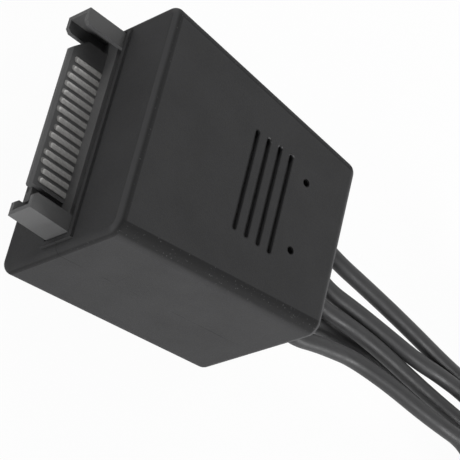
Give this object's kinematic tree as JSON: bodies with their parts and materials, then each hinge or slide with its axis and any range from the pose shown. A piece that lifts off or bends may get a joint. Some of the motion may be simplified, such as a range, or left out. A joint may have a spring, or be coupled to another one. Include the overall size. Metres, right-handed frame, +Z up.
{
  "type": "in-line power splitter cable",
  "caption": "Short power splitter cable: a moulded drive-power plug with guide ears, black wires and in-line receptacles.",
  "frame": {"origin": "on the floor under the middle of the moulded plug, ear tips to rear face", "axes": "+X from the plug's mouth to the wires, +Y to the plug's first contact, +Z up out of a grip face"},
  "size_m": [0.151, 0.0332, 0.0223],
  "materials": {
    "housing_plastic": "fine spark-eroded mould texture, matte",
    "insulator_plastic": "smooth moulded, satin",
    "receptacle_plastic": "smooth moulded, satin",
    "wire_jacket": "soft extruded jacket, satin",
    "contact_metal": "stamped and plated, satin"
  },
  "bodies": {
    "root": {"moulded_housing": "housing_plastic", "plug_insulator": "insulator_plastic", "wire_3v3": "wire_jacket", "wire_ground_a": "wire_jacket", "wire_5v": "wire_jacket", "wire_ground_b": "wire_jacket", "wire_12v": "wire_jacket", "plug_terminal_3v3": "contact_metal", "plug_terminal_ground_a": "contact_metal", "plug_terminal_5v": "contact_metal", "plug_terminal_ground_b": "contact_metal", "plug_terminal_12v": "contact_metal", "inner_receptacle_body": "receptacle_plastic", "inner_receptacle_cap": "receptacle_plastic", "inner_receptacle_contact_3v3": "contact_metal", "inner_receptacle_contact_ground_a": "contact_metal", "inner_receptacle_contact_5v": "contact_metal", "inner_receptacle_contact_ground_b": "contact_metal", "inner_receptacle_contact_12v": "contact_metal", "end_receptacle_body": "receptacle_plastic", "end_receptacle_cap": "receptacle_plastic", "end_receptacle_contact_3v3": "contact_metal", "end_receptacle_contact_ground_a": "contact_metal", "end_receptacle_contact_5v": "contact_metal", "end_receptacle_contact_ground_b": "contact_metal", "end_receptacle_contact_12v": "contact_metal"}
  },
  "joints": []
}
